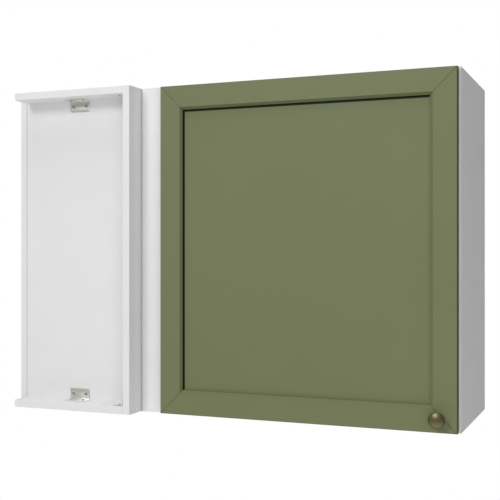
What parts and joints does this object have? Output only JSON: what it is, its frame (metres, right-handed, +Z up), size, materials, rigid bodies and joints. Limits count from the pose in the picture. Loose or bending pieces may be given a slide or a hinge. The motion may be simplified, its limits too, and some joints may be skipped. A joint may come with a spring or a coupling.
{
  "type": "corner wall cabinet",
  "caption": "Blind-corner kitchen wall cabinet: white carcass with fixed blind panel and corner spacer, shelf, and one green framed door on swan-neck cup hinges with a brass knob.",
  "frame": {"origin": "middle of the wall rail's line of fixing holes, on the wall plane", "axes": "+X along the wall from the blind end to the door end, +Y into the wall, +Z up"},
  "size_m": [1, 0.3595, 0.7],
  "materials": {
    "white_board": "white melamine-faced board, satin",
    "back_board": "white-lacquered hardboard",
    "green_lacquer": "matt olive-green lacquer on fibreboard",
    "beech": "fluted beech",
    "antique_brass": "antiqued, lacquered",
    "clear_bumper": "soft, translucent",
    "white_plastic": "moulded",
    "nickel_steel": "nickel-plated",
    "zinc_steel": "zinc-plated"
  },
  "bodies": {
    "cabinet": {"left_side_panel": "white_board", "right_side_panel": "white_board", "top_panel": "white_board", "bottom_panel": "white_board", "back_panel": "back_board", "blind_panel": "white_board", "shelf": "white_board", "shelf_pins": "zinc_steel", "cam_locks": "zinc_steel", "cam_bolts": "zinc_steel", "dowels": "beech", "spacer_stile": "white_board", "spacer_top_rail": "white_board", "spacer_bottom_rail": "white_board", "top_center_bracket": "zinc_steel", "bottom_center_bracket": "zinc_steel", "top_corner_bracket": "zinc_steel", "bottom_corner_bracket": "zinc_steel", "bracket_screws": "zinc_steel", "left_hanger_housing": "white_plastic", "right_hanger_housing": "white_plastic", "left_hanger_hook": "zinc_steel", "right_hanger_hook": "zinc_steel", "hanger_screws": "zinc_steel", "hanger_adjusters": "zinc_steel", "wall_rail": "zinc_steel", "upper_hinge_arm": "nickel_steel", "lower_hinge_arm": "nickel_steel", "upper_hinge_plate": "nickel_steel", "lower_hinge_plate": "nickel_steel", "hinge_plate_screws": "nickel_steel", "hinge_arm_screws": "nickel_steel"},
    "door": {"door_left_stile": "green_lacquer", "door_right_stile": "green_lacquer", "door_top_rail": "green_lacquer", "door_bottom_rail": "green_lacquer", "door_panel": "green_lacquer", "upper_hinge_cup": "nickel_steel", "lower_hinge_cup": "nickel_steel", "upper_hinge_pin": "nickel_steel", "lower_hinge_pin": "nickel_steel", "hinge_cup_screws": "nickel_steel", "knob": "antique_brass", "knob_screw": "zinc_steel", "door_bumpers": "clear_bumper"}
  },
  "joints": [
    {"name": "door_hinge", "type": "hinge", "parent": "cabinet", "child": "door", "pos_m": [-0.1249, -0.3165, -0.298], "axis": [0, 0, -1], "range_deg": [0, 95]}
  ]
}
